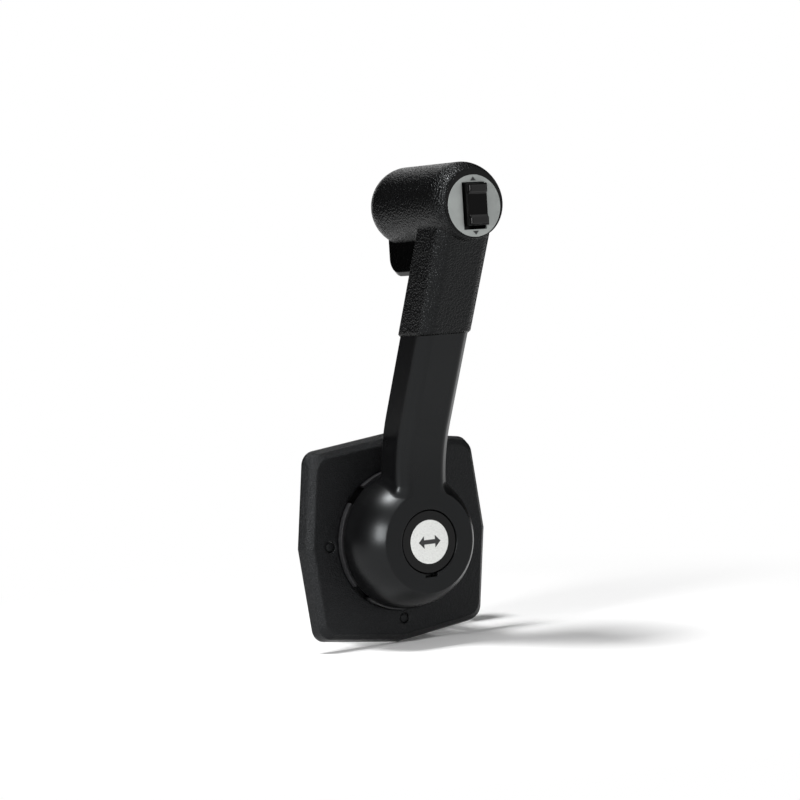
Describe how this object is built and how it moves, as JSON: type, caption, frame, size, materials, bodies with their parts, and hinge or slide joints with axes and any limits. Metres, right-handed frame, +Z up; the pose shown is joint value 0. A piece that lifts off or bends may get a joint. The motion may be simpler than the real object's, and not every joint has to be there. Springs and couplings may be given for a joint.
{
  "type": "boat engine control lever",
  "caption": "Single lever engine control for a side panel: square flanged plate, domed hub with a bent arm, round palm grip with thumb rocker and lock trigger, gear driven cable arms behind.",
  "frame": {"origin": "where the lever's pivot axis meets the plane of the panel's front face", "axes": "+X and -X run fore and aft along the panel, -Y points out of the panel towards the hand, +Y into it, +Z up along the upright lever"},
  "size_m": [0.121, 0.1427, 0.2403],
  "materials": {
    "textured_plastic": "fine grained",
    "gasket_rubber": "matte foam",
    "black_casting": "satin black over a die casting",
    "bush_bronze": "sintered",
    "zinc_steel": "zinc plated",
    "black_paint": "satin black",
    "bright_steel": "ground",
    "dark_steel": "black oxide",
    "gear_steel": "machined",
    "smooth_plastic": "smooth satin",
    "badge_plastic": "gloss inlay",
    "spring_steel": "drawn wire",
    "grip_plastic": "leather grained",
    "satin_metal": "satin",
    "rocker_plastic": "smooth satin",
    "trigger_plastic": "gloss",
    "switch_housing": "moulded",
    "nylon": "natural"
  },
  "bodies": {
    "base": {"escutcheon": "textured_plastic", "panel_gasket": "gasket_rubber", "chassis": "black_casting", "front_bush": "bush_bronze", "rear_bush": "bush_bronze", "back_plate": "zinc_steel", "frame_pillars": "zinc_steel", "frame_screws": "zinc_steel", "escutcheon_screws": "zinc_steel", "detent_roller": "bright_steel", "detent_spring": "spring_steel", "neutral_switch": "switch_housing", "friction_shoe": "nylon", "friction_screw": "zinc_steel", "cable_bracket": "zinc_steel", "cable_clamp": "zinc_steel", "clamp_screws": "zinc_steel", "bracket_screws": "zinc_steel"},
    "lever": {"lever_arm": "black_paint", "drive_shaft": "bright_steel", "hub_washer": "zinc_steel", "hub_bolt": "dark_steel", "drive_gear": "gear_steel", "detent_plate": "gear_steel", "shaft_clip": "dark_steel", "grip": "grip_plastic", "switch_bezel": "smooth_plastic", "switch_plate": "satin_metal", "trim_switch": "smooth_plastic", "rocker_pin": "bright_steel", "button_spring": "spring_steel", "lock_spring": "spring_steel"},
    "button": {"button_cap": "smooth_plastic", "badge_disc": "badge_plastic"},
    "neutral_lock": {"lock_trigger": "trigger_plastic", "lock_rod": "bright_steel"},
    "rocker": {"trim_rocker": "rocker_plastic"},
    "shift_output": {"shift_gear": "gear_steel", "shift_shaft": "bright_steel", "shift_arm": "zinc_steel", "shift_cable_pin": "bright_steel", "shift_clip": "dark_steel"},
    "throttle_output": {"throttle_gear": "gear_steel", "throttle_shaft": "bright_steel", "throttle_arm": "zinc_steel", "throttle_cable_pin": "bright_steel", "throttle_clip": "dark_steel"}
  },
  "joints": [
    {"name": "lever_pivot", "type": "hinge", "parent": "base", "child": "lever", "pos_m": [0, 0, 0], "axis": [0, 1, 0], "range_deg": [-85, 65]},
    {"name": "throttle_only_button", "type": "slide", "parent": "lever", "child": "button", "axis": [0, 1, 0], "range_m": [0, 0.003], "stiffness_N_per_m": 900, "springref_m": -0.002, "deforming": ["button_spring"]},
    {"name": "lock_trigger_slide", "type": "slide", "parent": "lever", "child": "neutral_lock", "axis": [0, -0.4226, 0.9063], "range_m": [0, 0.0045], "stiffness_N_per_m": 700, "springref_m": -0.002, "deforming": ["lock_spring"]},
    {"name": "trim_rocker_pivot", "type": "hinge", "parent": "lever", "child": "rocker", "pos_m": [0, -0.09312, 0.1651], "axis": [1, 0, 0], "range_deg": [-6, 6], "stiffness_Nm_per_rad": 0.3},
    {"name": "shift_output_pivot", "type": "hinge", "parent": "base", "child": "shift_output", "pos_m": [-0.0135, 0, 0.02338], "axis": [0, 1, 0], "range_deg": [-33, 43]},
    {"name": "throttle_output_pivot", "type": "hinge", "parent": "base", "child": "throttle_output", "pos_m": [0.0135, 0, 0.02338], "axis": [0, 1, 0], "range_deg": [-33, 43]}
  ],
  "couplings": [
    {"joint": "shift_output_pivot", "follows": "lever_pivot", "ratio": -0.5},
    {"joint": "throttle_output_pivot", "follows": "lever_pivot", "ratio": -0.5}
  ]
}
